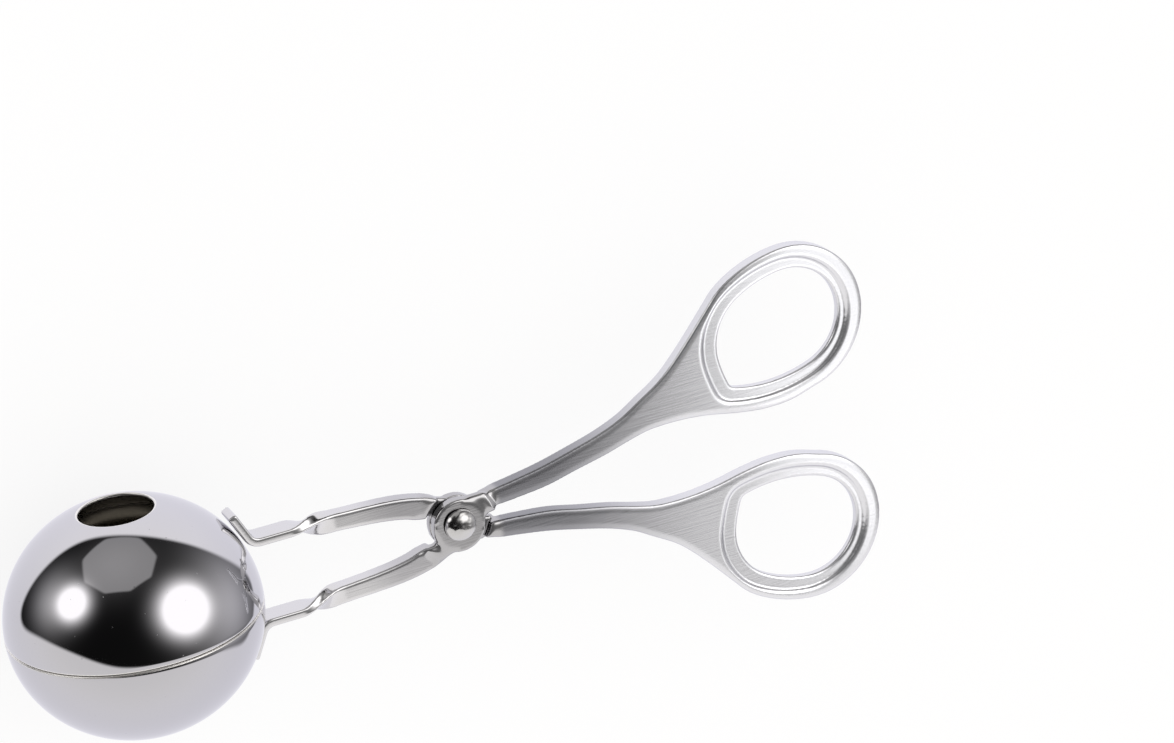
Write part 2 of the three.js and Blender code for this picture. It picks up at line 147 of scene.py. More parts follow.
def bowl_tree():
    """Node tree of a pressed half bowl that opens towards -Y, its middle at the origin."""
    tree = bpy.data.node_groups.new("pressed half bowl", "GeometryNodeTree")
    sockets = {}
    for name, kind, value in (
        ("Radius", "NodeSocketFloat", BALL_RADIUS), ("Depth", "NodeSocketFloat", BOWL_DEPTH),
        ("Sheet", "NodeSocketFloat", SHEET), ("Hole Radius", "NodeSocketFloat", CROWN_HOLE_RADIUS),
        ("Seam Gap", "NodeSocketFloat", SEAM_SHOWN), ("Around", "NodeSocketInt", POINTS_AROUND),
        ("Along", "NodeSocketInt", POINTS_ALONG), ("Outside", "NodeSocketMaterial", None),
        ("Inside", "NodeSocketMaterial", None), ("Edges", "NodeSocketMaterial", None),
    ):
        socket = tree.interface.new_socket(name, in_out="INPUT", socket_type=kind)
        if value is not None:
            socket.default_value = value
        sockets[name] = socket.identifier
    tree.interface.new_socket("Geometry", in_out="OUTPUT", socket_type="NodeSocketGeometry")
    given = node(tree, "NodeGroupInput").outputs
    grid = node(tree, "GeometryNodeMeshGrid", {
        "Size X": 1.0, "Size Y": 1.0, "Vertices X": given["Along"], "Vertices Y": given["Around"]})
    spot = node(tree, "ShaderNodeSeparateXYZ", {"Vector": grid.outputs["UV Map"]}).outputs

    # The section is one closed loop: up the outer face, over the hole's edge, down the inner face
    # and round the rim
    face, edge = FACE_SHARE, 0.5
    known = {name: given[name] for name in ("Radius", "Depth", "Sheet", "Hole Radius", "Seam Gap")}
    for part, start, end in (
        ("outer face", 0.0, face), ("hole's edge", face, edge), ("inner face", edge, edge + face),
        ("rim", edge + face, 1.0),
    ):
        known[part] = node(tree, "ShaderNodeMapRange", {
            "Value": spot["X"], "From Min": start, "From Max": end}).outputs["Result"]
    for name, operation, *terms in (
        ("climb", "SUBTRACT", "outer face", "inner face"),
        ("half turns", "ADD", "hole's edge", "rim"),
        ("roll", "MULTIPLY", "half turns", math.pi),
        ("half sheet", "MULTIPLY", "Sheet", 0.5),
        ("middle radius", "SUBTRACT", "Radius", "half sheet"),
        ("middle depth", "SUBTRACT", "Depth", "half sheet"),
        ("rim height", "MULTIPLY_ADD", "Seam Gap", 0.5, "half sheet"),
        ("rim sine", "DIVIDE", "rim height", "middle depth"),
        ("rim angle", "ARCSINE", "rim sine"),
        ("crown reach", "ADD", "Hole Radius", "half sheet"),
        ("crown cosine", "DIVIDE", "crown reach", "middle radius"),
        ("crown angle", "ARCCOSINE", "crown cosine"),
        ("sweep", "SUBTRACT", "crown angle", "rim angle"),
        ("angle", "MULTIPLY_ADD", "climb", "sweep", "rim angle"),
        ("sine", "SINE", "angle"),
        ("cosine", "COSINE", "angle"),
        # The wall's outward direction
        ("lean x", "DIVIDE", "cosine", "middle radius"),
        ("lean y", "DIVIDE", "sine", "middle depth"),
        ("lean x squared", "MULTIPLY", "lean x", "lean x"),
        ("lean squared", "MULTIPLY_ADD", "lean y", "lean y", "lean x squared"),
        ("lean", "SQRT", "lean squared"),
        ("out x", "DIVIDE", "lean x", "lean"),
        ("out y", "DIVIDE", "lean y", "lean"),
        # The wall's middle line, then across the wall, then onward past its end
        ("roll cosine", "COSINE", "roll"),
        ("roll sine", "SINE", "roll"),
        ("across", "MULTIPLY", "half sheet", "roll cosine"),
        ("onward", "MULTIPLY", "half sheet", "roll sine"),
        ("middle x", "MULTIPLY", "middle radius", "cosine"),
        ("wall x", "MULTIPLY_ADD", "out x", "across", "middle x"),
        ("end x", "MULTIPLY", "out y", "onward"),
        ("reach", "SUBTRACT", "wall x", "end x"),
        ("middle y", "MULTIPLY", "middle depth", "sine"),
        ("wall y", "MULTIPLY_ADD", "out y", "across", "middle y"),
        ("height", "MULTIPLY_ADD", "out x", "onward", "wall y"),
        ("turn", "MULTIPLY", spot["Y"], math.tau),
        ("turn cosine", "COSINE", "turn"),
        ("turn sine", "SINE", "turn"),
        ("x", "MULTIPLY", "reach", "turn cosine"),
        ("z", "MULTIPLY", "reach", "turn sine"),
        ("past outer face", "GREATER_THAN", spot["X"], face),
        ("past hole's edge", "GREATER_THAN", spot["X"], edge),
        ("past inner face", "GREATER_THAN", spot["X"], edge + face),
    ):
        known[name] = node(
            tree, "ShaderNodeMath", {i: known.get(term, term) for i, term in enumerate(terms)},
            operation=operation).outputs[0]
    place = node(tree, "ShaderNodeCombineXYZ", {
        "X": known["x"], "Y": known["height"], "Z": known["z"]}).outputs["Vector"]

    bowl = grid.outputs["Mesh"]
    for kind, inputs in (
        ("GeometryNodeSetPosition", {"Position": place}),
        ("GeometryNodeMergeByDistance", {"Distance": 0.002}),
        ("GeometryNodeSetShadeSmooth", {}),
        ("GeometryNodeRealizeInstances", {}),
        ("GeometryNodeSetMaterial", {"Material": given["Outside"]}),
        ("GeometryNodeSetMaterial", {
            "Material": given["Edges"], "Selection": known["past outer face"]}),
        ("GeometryNodeSetMaterial", {
            "Material": given["Inside"], "Selection": known["past hole's edge"]}),
        ("GeometryNodeSetMaterial", {
            "Material": given["Edges"], "Selection": known["past inner face"]}),
        ("NodeGroupOutput", {}),
    ):
        step = node(tree, kind, {"Geometry": bowl, **inputs})
        bowl = step.outputs["Geometry"] if step.outputs else None
    return tree, sockets


def settle(piece, turned, shift):
    """Bakes a piece's place into its mesh, in metres; a turned piece goes half round the X axis."""
    side = -1.0 if turned else 1.0
    for vertex in piece.data.vertices:
        x, y, z = vertex.co
        vertex.co = (Vector((x, side * y, side * z)) + PIVOT + shift) * MILLIMETRE


def add_piece(name, mesh):
    """A new object of a mesh, in the scene."""
    piece = bpy.data.objects.new(name, mesh)
    bpy.context.scene.collection.objects.link(piece)
    return piece


def outward(mesh):
    """Turns every face outwards."""
    made = bmesh.new()
    made.from_mesh(mesh)
    bmesh.ops.recalc_face_normals(made, faces=made.faces)
    made.to_mesh(mesh)
    made.free()


tree, sockets = bowl_tree()
finishes = {"Outside": polished_sheet(), "Inside": drawn_sheet_and_shade(), "Edges": deburred_edge()}
for bowl_name, turned, body in (("upper_bowl", False, "back"), ("lower_bowl", True, "front")):
    form = add_piece("bowl_form", bpy.data.meshes.new("bowl_form"))
    press = form.modifiers.new("press", "NODES")
    press.node_group = tree
    for socket_name, finish in finishes.items():
        press[sockets[socket_name]] = finish
    graph = bpy.context.evaluated_depsgraph_get()
    mesh = bpy.data.meshes.new_from_object(form.evaluated_get(graph), depsgraph=graph)
    bpy.data.objects.remove(form)
    outward(mesh)
    bowl = add_piece("polished_" + bowl_name, mesh)
    settle(bowl, turned, Vector((-BALL_REACH, 0.0, 0.0)))
    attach(bowl, body)
    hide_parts(bowl_name)


# ---- The two levers ----
# Each lever is one piece of forged stainless steel: finger loop, handle, raised ear, arm, twist and
# bent tab. Its faces are belt-ground to a satin along the handle, its edges are rolled bright, and
# its tab is spot-welded to the bowl. The second lever is the first, turned over.

# The bar and how its edges are rounded
BAR_THICKNESS = 3.0
BAR_ROUND = 0.45
EDGE_RADIUS = 0.35
CROWN = 0.1
CROWN_REACH = 1.25
RIM_REACH = 0.8
# The ear, the lap at the pivot, and the collar beside the ear
EAR_RADIUS = 5.0
EAR_THICKNESS = 2.05
EAR_ROUND = 0.3
LAP_GAP = 0.3
STEP_RADIUS = 7.2
STEP_GAP = 0.3
COLLAR_RISE = 0.6
COLLAR_LIP = 0.4
COLLAR_ROUND = 0.5
COLLAR_DOME = 1.2
CUT_RADIUS = 6.5
COLLAR_EXTRA = 0.15
ROOT_FLARE = 0.55
FOOT_START = -100.0
CROWN_START = 82.0
FILLET_TURN = math.degrees(0.19)
WAIST_SHARE = 0.78
RIVET_RADIUS = 1.9
RIVET_GAP = 0.3
# The handle and the finger loop with its ledge; turns are in degrees
HANDLE_WIDTH = 4.2
LOOP_RADII = [12.5, 24.0, 13.2, 29.0]
LOOP_TURNS = [166.0, 25.4, 69.5, 11.2]
LOOP_START = -70.0
CORNER_END = 256.0
RIM_START = -75.0
LEAVE_TURN = 14.0
RIM_WIDTH = 2.2
TOE_WIDTH = 3.25
LEDGE_WIDTH = 2.4
HOLE_SHIFT = 0.8
LEDGE_DEPTH = 0.6
LEDGE_ROUND = 0.45
LOOP_REACH = 69.3
LOOP_RISE = 21.284
# The arm, its quarter twist and the bent tab on the bowl
ARM_WIDTH = 3.5
TWIST_START = 22.9
TWIST_END = 31.9
STRIP_WIDTH = 4.9
STRIP_THICKNESS = 1.65
STRIP_RISE = 7.95
STRIP_ROUND = 0.3
BEND_RADIUS = 2.5
TAB_CONTACT = 9.0
TAB_LENGTH = 5.1
WELD_GAP = 0.3
# How far a cutting form reaches past what it cuts, and how fine curves and skin are
PAST = 4.0
FINE = 0.45
ARM_STEPS = 48
TWIST_STEPS = 40
BEND_STEPS = 20
SKIN = 0.2
# The blend of collar into ear: where it starts and ends, half its width, and its direction
SOFT_START = 3.6
SOFT_REACH = 9.0
SOFT_FADE = 0.4
SOFT_SIDE = 3.7
SOFT_TURN = 29
SOFT_PASSES = 6
# Lean of the belt's scratches, in degrees
BELT_LEAN = 17

# Axis of the handle, edges of its web and axis of the arm, as shares of their whole reach and rise
HANDLE_SHARES = [
    (0.035, 0.117, 0.62), (0.11, 0.15, 0.81), (0.167, 0.171, 0.88), (0.255, 0.211, 0.97),
    (0.341, 0.277, 0.99), (0.428, 0.347, 1.07), (0.5, 0.425, 1.19), (0.558, 0.498, 1.52),
]
WEB_OUTER_SHARES = [(0.62, 0.802), (0.693, 1.035)]
WEB_INNER_SHARES = [(0.659, 0.364), (0.744, 0.336), (0.831, 0.28), (0.91, 0.249), (0.99, 0.261)]
ARM_SHARES = [
    (0.096, 0.42, 0.75), (0.214, 0.575, 1.19), (0.305, 0.642, 1.27), (0.4, 0.723, 1.2),
    (0.533, 0.792, 1.14), (0.711, 0.843, 1.07), (0.889, 0.874, 1.02), (1.0, 0.893, 1.0),
]


def heading(angle):
    """The flat direction at an angle in degrees."""
    return Vector((math.cos(math.radians(angle)), math.sin(math.radians(angle))))


def arc(centre, radius, start, end):
    """Points of an arc, about FINE millimetres apart."""
    turn = end - start
    steps = max(8, math.ceil(abs(math.radians(turn)) * radius / FINE))
    return [centre + heading(start + turn * i / steps) * radius for i in range(steps + 1)]


def arc_chain(centre, radii, turns, start):
    """Arcs that run into one another without a kink."""
    points, angle = [], start
    for i, (radius, turn) in enumerate(zip(radii, turns)):
        if i:
            centre = centre + heading(angle) * (radii[i - 1] - radius)
        points += arc(centre, radius, angle, angle + turn)[1 if i else 0:]
        angle += turn
    return points, angle


def cross(a, b):
    """Area that two flat directions span."""
    return a.x * b.y - a.y * b.x


def loop_edge(inset):
    """The finger loop's edge, drawn inwards by an inset."""
    centre = Vector((LOOP_REACH, LOOP_RISE))
    points, angle = arc_chain(centre, LOOP_RADII, LOOP_TURNS, LOOP_START)
    gap = points[0] - points[-1]
    corner = heading(CORNER_END) - heading(angle)
    bottom = heading(LOOP_START) - heading(CORNER_END)
    area = cross(corner, bottom)
    radii = LOOP_RADII + [cross(gap, bottom) / area, cross(corner, gap) / area]
    turns = LOOP_TURNS + [CORNER_END - angle, 360 + LOOP_START - CORNER_END]
    return arc_chain(centre, [r - inset for r in radii], turns, LOOP_START)[0][:-1]


def spline(points, share, power):
    """A point on a Catmull-Rom line; power 0.5 spaces the knots by distance, power 0 evenly."""
    run = share * (len(points) - 1)
    i = min(int(run), len(points) - 2)
    b, c = points[i], points[i + 1]
    a = points[i - 1] if i else b * 2 - c
    d = points[i + 2] if i + 2 < len(points) else c * 2 - b
    before, here, after = ((q - p).length ** power for p, q in ((a, b), (b, c), (c, d)))
    leave = ((b - a) / before - (c - a) / (before + here) + (c - b) / here) * here
    enter = ((c - b) / here - (d - b) / (here + after) + (d - c) / after) * here
    t = run - i
    return (b + leave * t + (c * 3 - b * 3 - leave * 2 - enter) * t * t
            + (b * 2 - c * 2 + leave + enter) * t ** 3)


def tangent(points, share, power):
    """Direction of the Catmull-Rom line at a share of its length."""
    low, high = max(share - 0.0005, 0.0), min(share + 0.0005, 1.0)
    return spline(points, high, power) - spline(points, low, power)


def smooth_line(points):
    """Points of an even Catmull-Rom line, about FINE millimetres apart."""
    length = sum((q - p).length for p, q in zip(points, points[1:]))
    steps = math.ceil(length / FINE)
    return [spline(points, i / steps, 0.0) for i in range(steps + 1)]


def bar_edges(stations):
    """Both edges of a bar; the third value of each station is its width."""
    left, right = [], []
    for i, station in enumerate(stations):
        along = tangent(stations, i / (len(stations) - 1), 0.5)
        across = Vector((-along.y, along.x)).normalized() * station.z / 2
        left.append(station.xy + across)
        right.append(station.xy - across)
    return left, right


def handle_stations():
    """Points on the handle's axis, each with the bar's width there."""
    return [Vector((x * LOOP_REACH, y * LOOP_RISE, w * HANDLE_WIDTH))
            for x, y, w in HANDLE_SHARES]


def arm_stations():
    """Points on the arm's axis, each with the bar's width there."""
    return [Vector((-x * TWIST_START, -y * STRIP_RISE, w * ARM_WIDTH)) for x, y, w in ARM_SHARES]


def handle_edge():
    """Outline of handle and loop from the front, its root inside the ear."""
    left, right = bar_edges(handle_stations())
    web = [[Vector((x * LOOP_REACH, y * LOOP_RISE)) for x, y in shares]
           for shares in (WEB_OUTER_SHARES, WEB_INNER_SHARES)]
    rim_turns = [LOOP_TURNS[0] + LOOP_START - RIM_START, LOOP_TURNS[1], LEAVE_TURN]
    centre = Vector((LOOP_REACH + TOE_WIDTH - RIM_WIDTH, LOOP_RISE))
    rim, _ = arc_chain(centre, [r + RIM_WIDTH for r in LOOP_RADII[:3]], rim_turns, RIM_START)
    inner = smooth_line(right + web[1] + [rim[0]])
    outer = smooth_line([rim[-1]] + web[0][::-1] + left[::-1])
    return inner[:-1] + rim[:-1] + outer


def fillet(start, corner, end):
    """A soft curve from start to end that bends towards a corner."""
    return [start * (1 - t) ** 2 + corner * 2 * t * (1 - t) + end * t * t
            for t in (i / 10 for i in range(11))]


def collar_edge():
    """Outline of the collar: the ear with a stub of the handle and a stub of the arm."""
    def widened(stations):
        return [Vector((s.x, s.y, s.z + 2 * COLLAR_EXTRA)) for s in stations]

    root_left, root_right = bar_edges(widened(handle_stations()[1:3]))
    neck_left, neck_right = bar_edges(widened(arm_stations()[2:4]))
    foot_line = [Vector((p.x, p.y - ROOT_FLARE)) for p in root_right]
    centre = Vector((0.0, 0.0))
    root_corner = math.degrees(math.asin(foot_line[0].y / EAR_RADIUS))
    foot = arc(centre, EAR_RADIUS, FOOT_START, root_corner - FILLET_TURN)
    neck_corner = 180 + math.degrees(math.asin(-neck_right[0].y / EAR_RADIUS))
    crown = arc(centre, EAR_RADIUS, CROWN_START, neck_corner - FILLET_TURN)
    waist = Vector((-EAR_RADIUS, -STEP_RADIUS)) * WAIST_SHARE
    root_fillet = fillet(foot[-1], heading(root_corner) * EAR_RADIUS, foot_line[0])
    neck_fillet = fillet(crown[-1], heading(neck_corner) * EAR_RADIUS, neck_right[0])
    neck_waist = fillet(neck_left[0], waist, foot[0])
    return (foot[:-1] + root_fillet[:-1] + foot_line + root_left[::-1] + crown[:-1]
            + neck_fillet[:-1] + neck_right + neck_left[:0:-1] + neck_waist[:-1])


def drawn_in(ring, amount):
    """A closed counter-clockwise ring moved inwards."""
    moved = []
    for i, point in enumerate(ring):
        a = (point - ring[i - 1]).normalized()
        b = (ring[(i + 1) % len(ring)] - point).normalized()
        normal = Vector((-a.y - b.y, a.x + b.x))
        moved.append(point + normal * (amount / max(1 + a.dot(b), 0.4)))
    return moved


def edge_curve(radius, crown=0.0, reach=0.0):
    """Steps of a plate's edge from its side to its face: how far in, and how far below the face."""
    steps = 6
    corner = [(radius * (1 - math.cos(a)), crown + radius * (1 - math.sin(a)))
              for a in (math.pi / 2 * i / steps for i in range(steps + 1))]
    rise = [(radius + (reach - radius) * i / steps, crown * (1 - i / steps) ** 2)
            for i in range(1, steps + 1)]
    return corner + (rise if crown else [])


def domed(inset, drop):
    """A quarter of an ellipse from a plate's side to its face, in the same form as edge_curve's."""
    return [(inset * (1 - math.cos(a)), drop * (1 - math.sin(a)))
            for a in (math.pi / 2 * i / 12 for i in range(13))]


def plate(outline, bottom, top, edge=((0.0, 0.0),), holes=(), hole_edge=None):
    """A flat plate with the same edge curve on both faces."""
    corners, faces, caps = [], [], []
    lines = [(outline, 1, edge)] + [(hole, -1, hole_edge or edge) for hole in holes]
    for line, side, curve in lines:
        first, count = len(corners), len(line)
        rings = [(inset, bottom + drop) for inset, drop in reversed(curve)]
        rings += [(inset, top - drop) for inset, drop in curve]
        for inset, z in rings:
            corners += [p.to_3d() + Vector((0, 0, z)) for p in drawn_in(line, side * inset)]
        for row in range(len(rings) - 1):
            for i in range(count):
                a, b = first + row * count + i, first + row * count + (i + 1) % count
                faces.append((a, b, b + count, a + count))
        caps.append((first, count, len(rings) - 1))
    for top_cap in (False, True):
        starts = [(first + (rows * count if top_cap else 0), count) for first, count, rows in caps]
        ids = [start + i for start, count in starts for i in range(count)]
        loops = [[corners[start + i] for i in range(count)] for start, count in starts]
        faces += [tuple(ids[i] for i in triangle) for triangle in tessellate_polygon(loops)]
    return solid(corners, faces)


def solid(corners, faces):
    """A closed mesh with its faces outwards, as a scratch object."""
    mesh = bpy.data.meshes.new("form")
    mesh.from_pydata(corners, [], faces)
    outward(mesh)
    return add_piece("form", mesh)


def round_bar(radius, bottom, top):
    """A round bar on the pivot's axis."""
    return plate(arc(Vector((0.0, 0.0)), radius, 0.0, 360.0)[:-1], bottom, top)


def turned_form(profile):
    """A solid turned about Z; its profile of radii and heights starts and ends on the axis."""
    around = 160
    corners = [Vector((0, 0, profile[0][1])), Vector((0, 0, profile[-1][1]))]
    rows = profile[1:-1]
    for radius, z in rows:
        corners += [Vector((*(heading(360 * i / around) * radius), z)) for i in range(around)]
    faces = []
    for i in range(around):
        j = (i + 1) % around
        faces.append((0, 2 + j, 2 + i))
        last = 2 + (len(rows) - 1) * around
        faces.append((1, last + i, last + j))
        for row in range(len(rows) - 1):
            a = 2 + row * around
            faces.append((a + i, a + j, a + around + j, a + around + i))
    return solid(corners, faces)


def section(width, height, rounding):
    """Rounded section of a bar; its first side lies at half the width."""
    points = []
    steps = 5
    for quarter, (sx, sy) in enumerate(((1, 1), (-1, 1), (-1, -1), (1, -1))):
        for i in range(steps + 1):
            angle = (quarter + i / steps) * math.pi / 2
            points.append((sx * (width / 2 - rounding) + rounding * math.cos(angle),
                           sy * (height / 2 - rounding) + rounding * math.sin(angle)))
    return points


def arm_ring(place, along, width, height, rounding, twist):
    """The bar's section at a place on the arm, turned about its axis by the twist."""
    side, up = Vector((along.y, -along.x, 0)), Vector((0, 0, 1))
    first = side * math.cos(twist) + up * math.sin(twist)
    second = up * math.cos(twist) - side * math.sin(twist)
    return [place + first * a + second * b for a, b in section(width, height, rounding)]


def arm_form():
    """The arm from inside the ear to the tip of its tab."""
    rings = []
    stations = arm_stations()
    for i in range(ARM_STEPS):
        share = i / ARM_STEPS
        spot = spline(stations, share, 0.5)
        along = tangent(stations, share, 0.5)
        along.z = 0
        rings.append(arm_ring(
            Vector((spot.x, spot.y, 0)), along.normalized(), spot.z, BAR_THICKNESS, BAR_ROUND, 0))
    for i in range(TWIST_STEPS + 1):
        share = i / TWIST_STEPS
        blend = share * share * (3 - 2 * share)
        x = -(TWIST_START + (TWIST_END - TWIST_START) * share)
        y = -STRIP_RISE * (ARM_SHARES[-1][1] + (1 - ARM_SHARES[-1][1]) * blend)
        rings.append(arm_ring(
            Vector((x, y, 0)), Vector((-1, 0, 0)), ARM_WIDTH + (STRIP_WIDTH - ARM_WIDTH) * blend,
            BAR_THICKNESS + (STRIP_THICKNESS - BAR_THICKNESS) * blend,
            BAR_ROUND + (STRIP_ROUND - BAR_ROUND) * blend, blend * math.pi / 2))
    climb = math.asin(TAB_CONTACT / BOWL_DEPTH)
    touch = Vector((BALL_RADIUS * math.cos(climb) - BALL_REACH, -TAB_CONTACT))
    out = Vector((BOWL_DEPTH * math.cos(climb), -BALL_RADIUS * math.sin(climb))).normalized()
    tab_axis = touch + out * (WELD_GAP + STRIP_THICKNESS / 2)
    along = Vector((out.y, -out.x))
    turn = math.acos(-along.x)
    bend_x = tab_axis.x - (tab_axis.y + STRIP_RISE) / along.y * along.x
    hub = Vector((bend_x + BEND_RADIUS * math.tan(turn / 2), -STRIP_RISE - BEND_RADIUS))
    for i in range(BEND_STEPS + 1):
        angle = turn * i / BEND_STEPS
        place = hub + Vector((-math.sin(angle), math.cos(angle))) * BEND_RADIUS
        rings.append(arm_ring(
            place.to_3d(), Vector((-math.cos(angle), -math.sin(angle), 0)), STRIP_WIDTH,
            STRIP_THICKNESS, STRIP_ROUND, math.pi / 2))
    # The tab's tip is rounded in three steps
    tip = tab_axis + along * TAB_LENGTH
    for back, shrink in ((0.3, 0.0), (0.1, 0.1), (0.0, 0.3)):
        place = tip - along * back
        rings.append(arm_ring(
            place.to_3d(), along.to_3d(), STRIP_WIDTH - 2 * shrink, STRIP_THICKNESS - 2 * shrink,
            STRIP_ROUND - shrink, math.pi / 2))
    count = len(rings[0])
    corners = [point for ring in rings for point in ring]
    faces = [tuple(range(count))[::-1], tuple(len(corners) - count + i for i in range(count))]
    for row in range(len(rings) - 1):
        for i in range(count):
            a, b = row * count + i, row * count + (i + 1) % count
            faces.append((a, b, b + count, a + count))
    return solid(corners, faces)


def joined(base, *steps):
    """Joins scratch forms to a base, or cuts them from it, in the order given."""
    for operation, tool in steps:
        change = base.modifiers.new("change", "BOOLEAN")
        change.operation = operation
        change.solver = "MANIFOLD"
        change.object = tool
    graph = bpy.context.evaluated_depsgraph_get()
    mesh = bpy.data.meshes.new_from_object(base.evaluated_get(graph), depsgraph=graph)
    for used in (base, *(tool for _, tool in steps)):
        bpy.data.objects.remove(used)
    return add_piece("form", mesh)


def lever_form():
    """The whole lever with sharp joints: handle, loop, ledge, collar, ear and arm."""
    half = BAR_THICKNESS / 2
    lap = LAP_GAP / 2
    ear_top = lap + EAR_THICKNESS
    collar_top = half + COLLAR_RISE
    drum, lip = STEP_RADIUS - STEP_GAP / 2, STEP_RADIUS + COLLAR_LIP
    brow = lip - COLLAR_RISE
    room = turned_form([
        (0, lap), (drum, lap), (drum, half - COLLAR_ROUND), (lip, half - COLLAR_ROUND), (lip, half),
        (brow, collar_top), (brow, collar_top + PAST), (0, collar_top + PAST),
    ])
    collar = joined(
        plate(collar_edge(), -half, collar_top, domed(COLLAR_DOME, COLLAR_ROUND)),
        ("INTERSECT", room),
    )
    rim = arc(Vector((0.0, 0.0)), EAR_RADIUS + COLLAR_EXTRA, 0.0, 360.0)[:-1]
    disc = joined(
        plate(rim, -half, ear_top, edge_curve(EAR_ROUND)),
        ("DIFFERENCE", round_bar(CUT_RADIUS, -half - PAST, lap)),
    )
    hole = [p + Vector((HOLE_SHIFT, 0)) for p in loop_edge(LEDGE_WIDTH)]
    ledge = plate(loop_edge(-RIM_WIDTH / 2), LEDGE_DEPTH - half, half - LEDGE_DEPTH,
                  edge_curve(LEDGE_ROUND), [hole])
    handle = plate(
        handle_edge(), -half, half, edge_curve(EDGE_RADIUS, CROWN, CROWN_REACH), [loop_edge(0.0)],
        edge_curve(EDGE_RADIUS, CROWN, RIM_REACH))
    return joined(
        handle,
        ("UNION", arm_form()),
        ("DIFFERENCE", round_bar(CUT_RADIUS, -half - PAST, lap)),
        ("UNION", collar),
        ("UNION", disc),
        ("UNION", ledge),
        ("DIFFERENCE", round_bar(RIVET_RADIUS + RIVET_GAP, -PAST, ear_top + PAST)),
    )


def ground_steel_and_shade(name, lean):
    """Stainless steel: belt-ground to a satin along the handle and buffed smoother from the ear on,
    with painted shade that darkens its colour towards the pivot.
    """
    material, tree, shader = metal(name, "#dcdcdf", 0.25)
    place = node(tree, "ShaderNodeTexCoord").outputs["Object"]
    along = node(tree, "ShaderNodeSeparateXYZ", {"Vector": place}).outputs["X"]
    # The belt starts 7 mm behind the pivot; the first 30 mm of the bar keep a darker grey, which is
    # painted shade
    ground = node(tree, "ShaderNodeMapRange", {
        "Value": along, "From Min": 0.0072, "From Max": 0.0086}, interpolation_type="SMOOTHSTEP")
    painted_shade_fade = node(tree, "ShaderNodeMapRange", {
        "Value": along, "From Min": 0.016, "From Max": 0.05}, interpolation_type="SMOOTHSTEP")
    # The belt runs along the handle, so the scratches lean with it; real ones are some 0.05 mm
    # apart and are drawn 0.35 mm apart to show
    grain = node(tree, "ShaderNodeMapping", {
        "Vector": place, "Rotation": (0.0, 0.0, -lean),
        "Scale": (1 / 0.012, 1 / 0.00035, 1 / 0.00035)})
    scratch = node(tree, "ShaderNodeTexNoise", {
        "Vector": grain.outputs["Vector"], "Scale": 1.0, "Detail": 3.0, "Roughness": 0.6})
    satin = node(tree, "ShaderNodeMapRange", {
        "Value": scratch.outputs["Fac"], "To Min": 0.16, "To Max": 0.3})
    rough = node(tree, "ShaderNodeMix", {
        0: ground.outputs["Result"], 2: 0.12, 3: satin.outputs["Result"]}, data_type="FLOAT")
    # Painted shade: the arm gets a darker grey at its root than at its end, and the ear a darker
    # grey still
    arm_shade_fade = node(tree, "ShaderNodeMapRange", {
        "Value": along, "From Min": -0.021, "From Max": -0.011}, interpolation_type="SMOOTHSTEP")
    ear = node(tree, "ShaderNodeMapRange", {
        "Value": along, "From Min": -0.0075, "From Max": -0.0055}, interpolation_type="SMOOTHSTEP")
    arm = node(tree, "ShaderNodeMix", {
        0: arm_shade_fade.outputs["Result"], 6: linear("#d6d5d6"), 7: linear("#bebdbf")},
        data_type="RGBA")
    arm_and_ear_shade = node(tree, "ShaderNodeMix", {
        0: ear.outputs["Result"], 6: arm.outputs[2], 7: linear("#b4b3b4")}, data_type="RGBA")
    # Painted shade on the handle: dark grey near the pivot, fading to the steel's own pale grey
    tint = node(tree, "ShaderNodeMix", {
        0: painted_shade_fade.outputs["Result"], 6: linear("#8f8f93"), 7: linear("#dedee1")}, data_type="RGBA")
    colour = node(tree, "ShaderNodeMix", {
        0: ground.outputs["Result"], 6: arm_and_ear_shade.outputs[2], 7: tint.outputs[2]}, data_type="RGBA")
    depth = node(tree, "ShaderNodeMapRange", {
        "Value": ground.outputs["Result"], "To Min": 0.08, "To Max": 0.26})
    bump = node(tree, "ShaderNodeBump", {
        "Height": scratch.outputs["Fac"], "Strength": depth.outputs["Result"],
        "Distance": 0.00005})
    tree.links.new(colour.outputs[2], shader.inputs["Base Color"])
    tree.links.new(rough.outputs[0], shader.inputs["Roughness"])
    tree.links.new(bump.outputs["Normal"], shader.inputs["Normal"])
    return material


def forged(piece):
    """Rounds every corner a little, as the die and the buffing wheel do, and the collar a lot."""
    skin = piece.modifiers.new("skin", "REMESH")
    skin.mode = "VOXEL"
    skin.voxel_size = SKIN
    skin.use_smooth_shade = True
    buff = piece.modifiers.new("buff", "SMOOTH")
    buff.factor = 0.5
    buff.iterations = 3
    graph = bpy.context.evaluated_depsgraph_get()
    piece.data = bpy.data.meshes.new_from_object(piece.evaluated_get(graph), depsgraph=graph)
    piece.modifiers.clear()
    made = bmesh.new()
    made.from_mesh(piece.data)
    across = heading(SOFT_TURN + 90)
    for ring in range(3):
        reach = SOFT_REACH - ring * SOFT_FADE
        near = [v for v in made.verts if SOFT_START < v.co.xy.length < reach
                and abs(v.co.xy.dot(across)) < SOFT_SIDE]
        for _ in range(SOFT_PASSES):
            bmesh.ops.smooth_vert(
                made, verts=near, factor=0.5, use_axis_x=True, use_axis_y=True, use_axis_z=True)
    made.to_mesh(piece.data)
    made.free()


def even_normals(piece):
    """Keeps flat faces flat in the shading and lets rounded edges run smoothly between them."""
    piece.data.shade_smooth()
    piece.data.set_sharp_from_angle(angle=math.radians(38))
    piece.modifiers.new("shade", "WEIGHTED_NORMAL").keep_sharp = True
    graph = bpy.context.evaluated_depsgraph_get()
    piece.data = bpy.data.meshes.new_from_object(piece.evaluated_get(graph), depsgraph=graph)
    piece.modifiers.clear()


